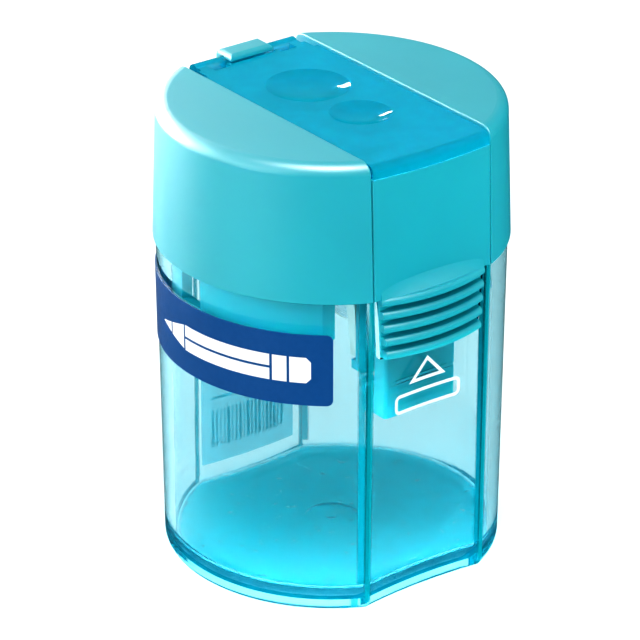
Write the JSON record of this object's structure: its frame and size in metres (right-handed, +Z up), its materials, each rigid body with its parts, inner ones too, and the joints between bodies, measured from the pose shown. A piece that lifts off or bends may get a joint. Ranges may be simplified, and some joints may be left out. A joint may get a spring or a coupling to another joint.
{
  "type": "pencil sharpener",
  "caption": "Hand-held pencil sharpener with a small and a large pencil hole, a hinged lid, a press-release head and a see-through shavings tub.",
  "frame": {"origin": "centre of the tub's underside, on the axis of its round wall", "axes": "+Z up, out of the pencil holes; -Y towards the ribbed press tongue, +Y towards the lid's hinge; the blades face -X"},
  "size_m": [0.044, 0.0418, 0.0605],
  "materials": {
    "clear_tub_plastic": "clear, tinted cyan, polished",
    "clear_lid_plastic": "clear, deep teal, polished",
    "cap_plastic": "satin, slightly pearly teal",
    "carrier_plastic": "satin teal",
    "wedge_metal": "die cast, satin",
    "blade_steel": "ground",
    "screw_steel": "plated",
    "blue_label": "printed film",
    "pale_label": "translucent film"
  },
  "bodies": {
    "tub": {"tub": "clear_tub_plastic", "side_label": "blue_label", "back_label": "pale_label"},
    "head": {"cap_shell": "cap_plastic", "carrier": "carrier_plastic", "sharpener_block": "wedge_metal", "blade_small": "blade_steel", "blade_large": "blade_steel", "blade_screw_small": "screw_steel", "blade_screw_large": "screw_steel"},
    "lid": {"lid": "clear_lid_plastic"},
    "press_tongue": {"press_tongue": "cap_plastic"}
  },
  "joints": [
    {"name": "head_lift", "type": "slide", "parent": "tub", "child": "head", "axis": [0, 0, 1], "range_m": [0, 0.05]},
    {"name": "lid_hinge", "type": "hinge", "parent": "head", "child": "lid", "pos_m": [0, 0.018, 0.05897], "axis": [-1, 0, 0], "range_deg": [0, 110]},
    {"name": "tongue_press", "type": "hinge", "parent": "head", "child": "press_tongue", "pos_m": [0, -0.019, 0.0572], "axis": [1, 0, 0], "range_deg": [0, 2.4], "stiffness_Nm_per_rad": 1}
  ]
}
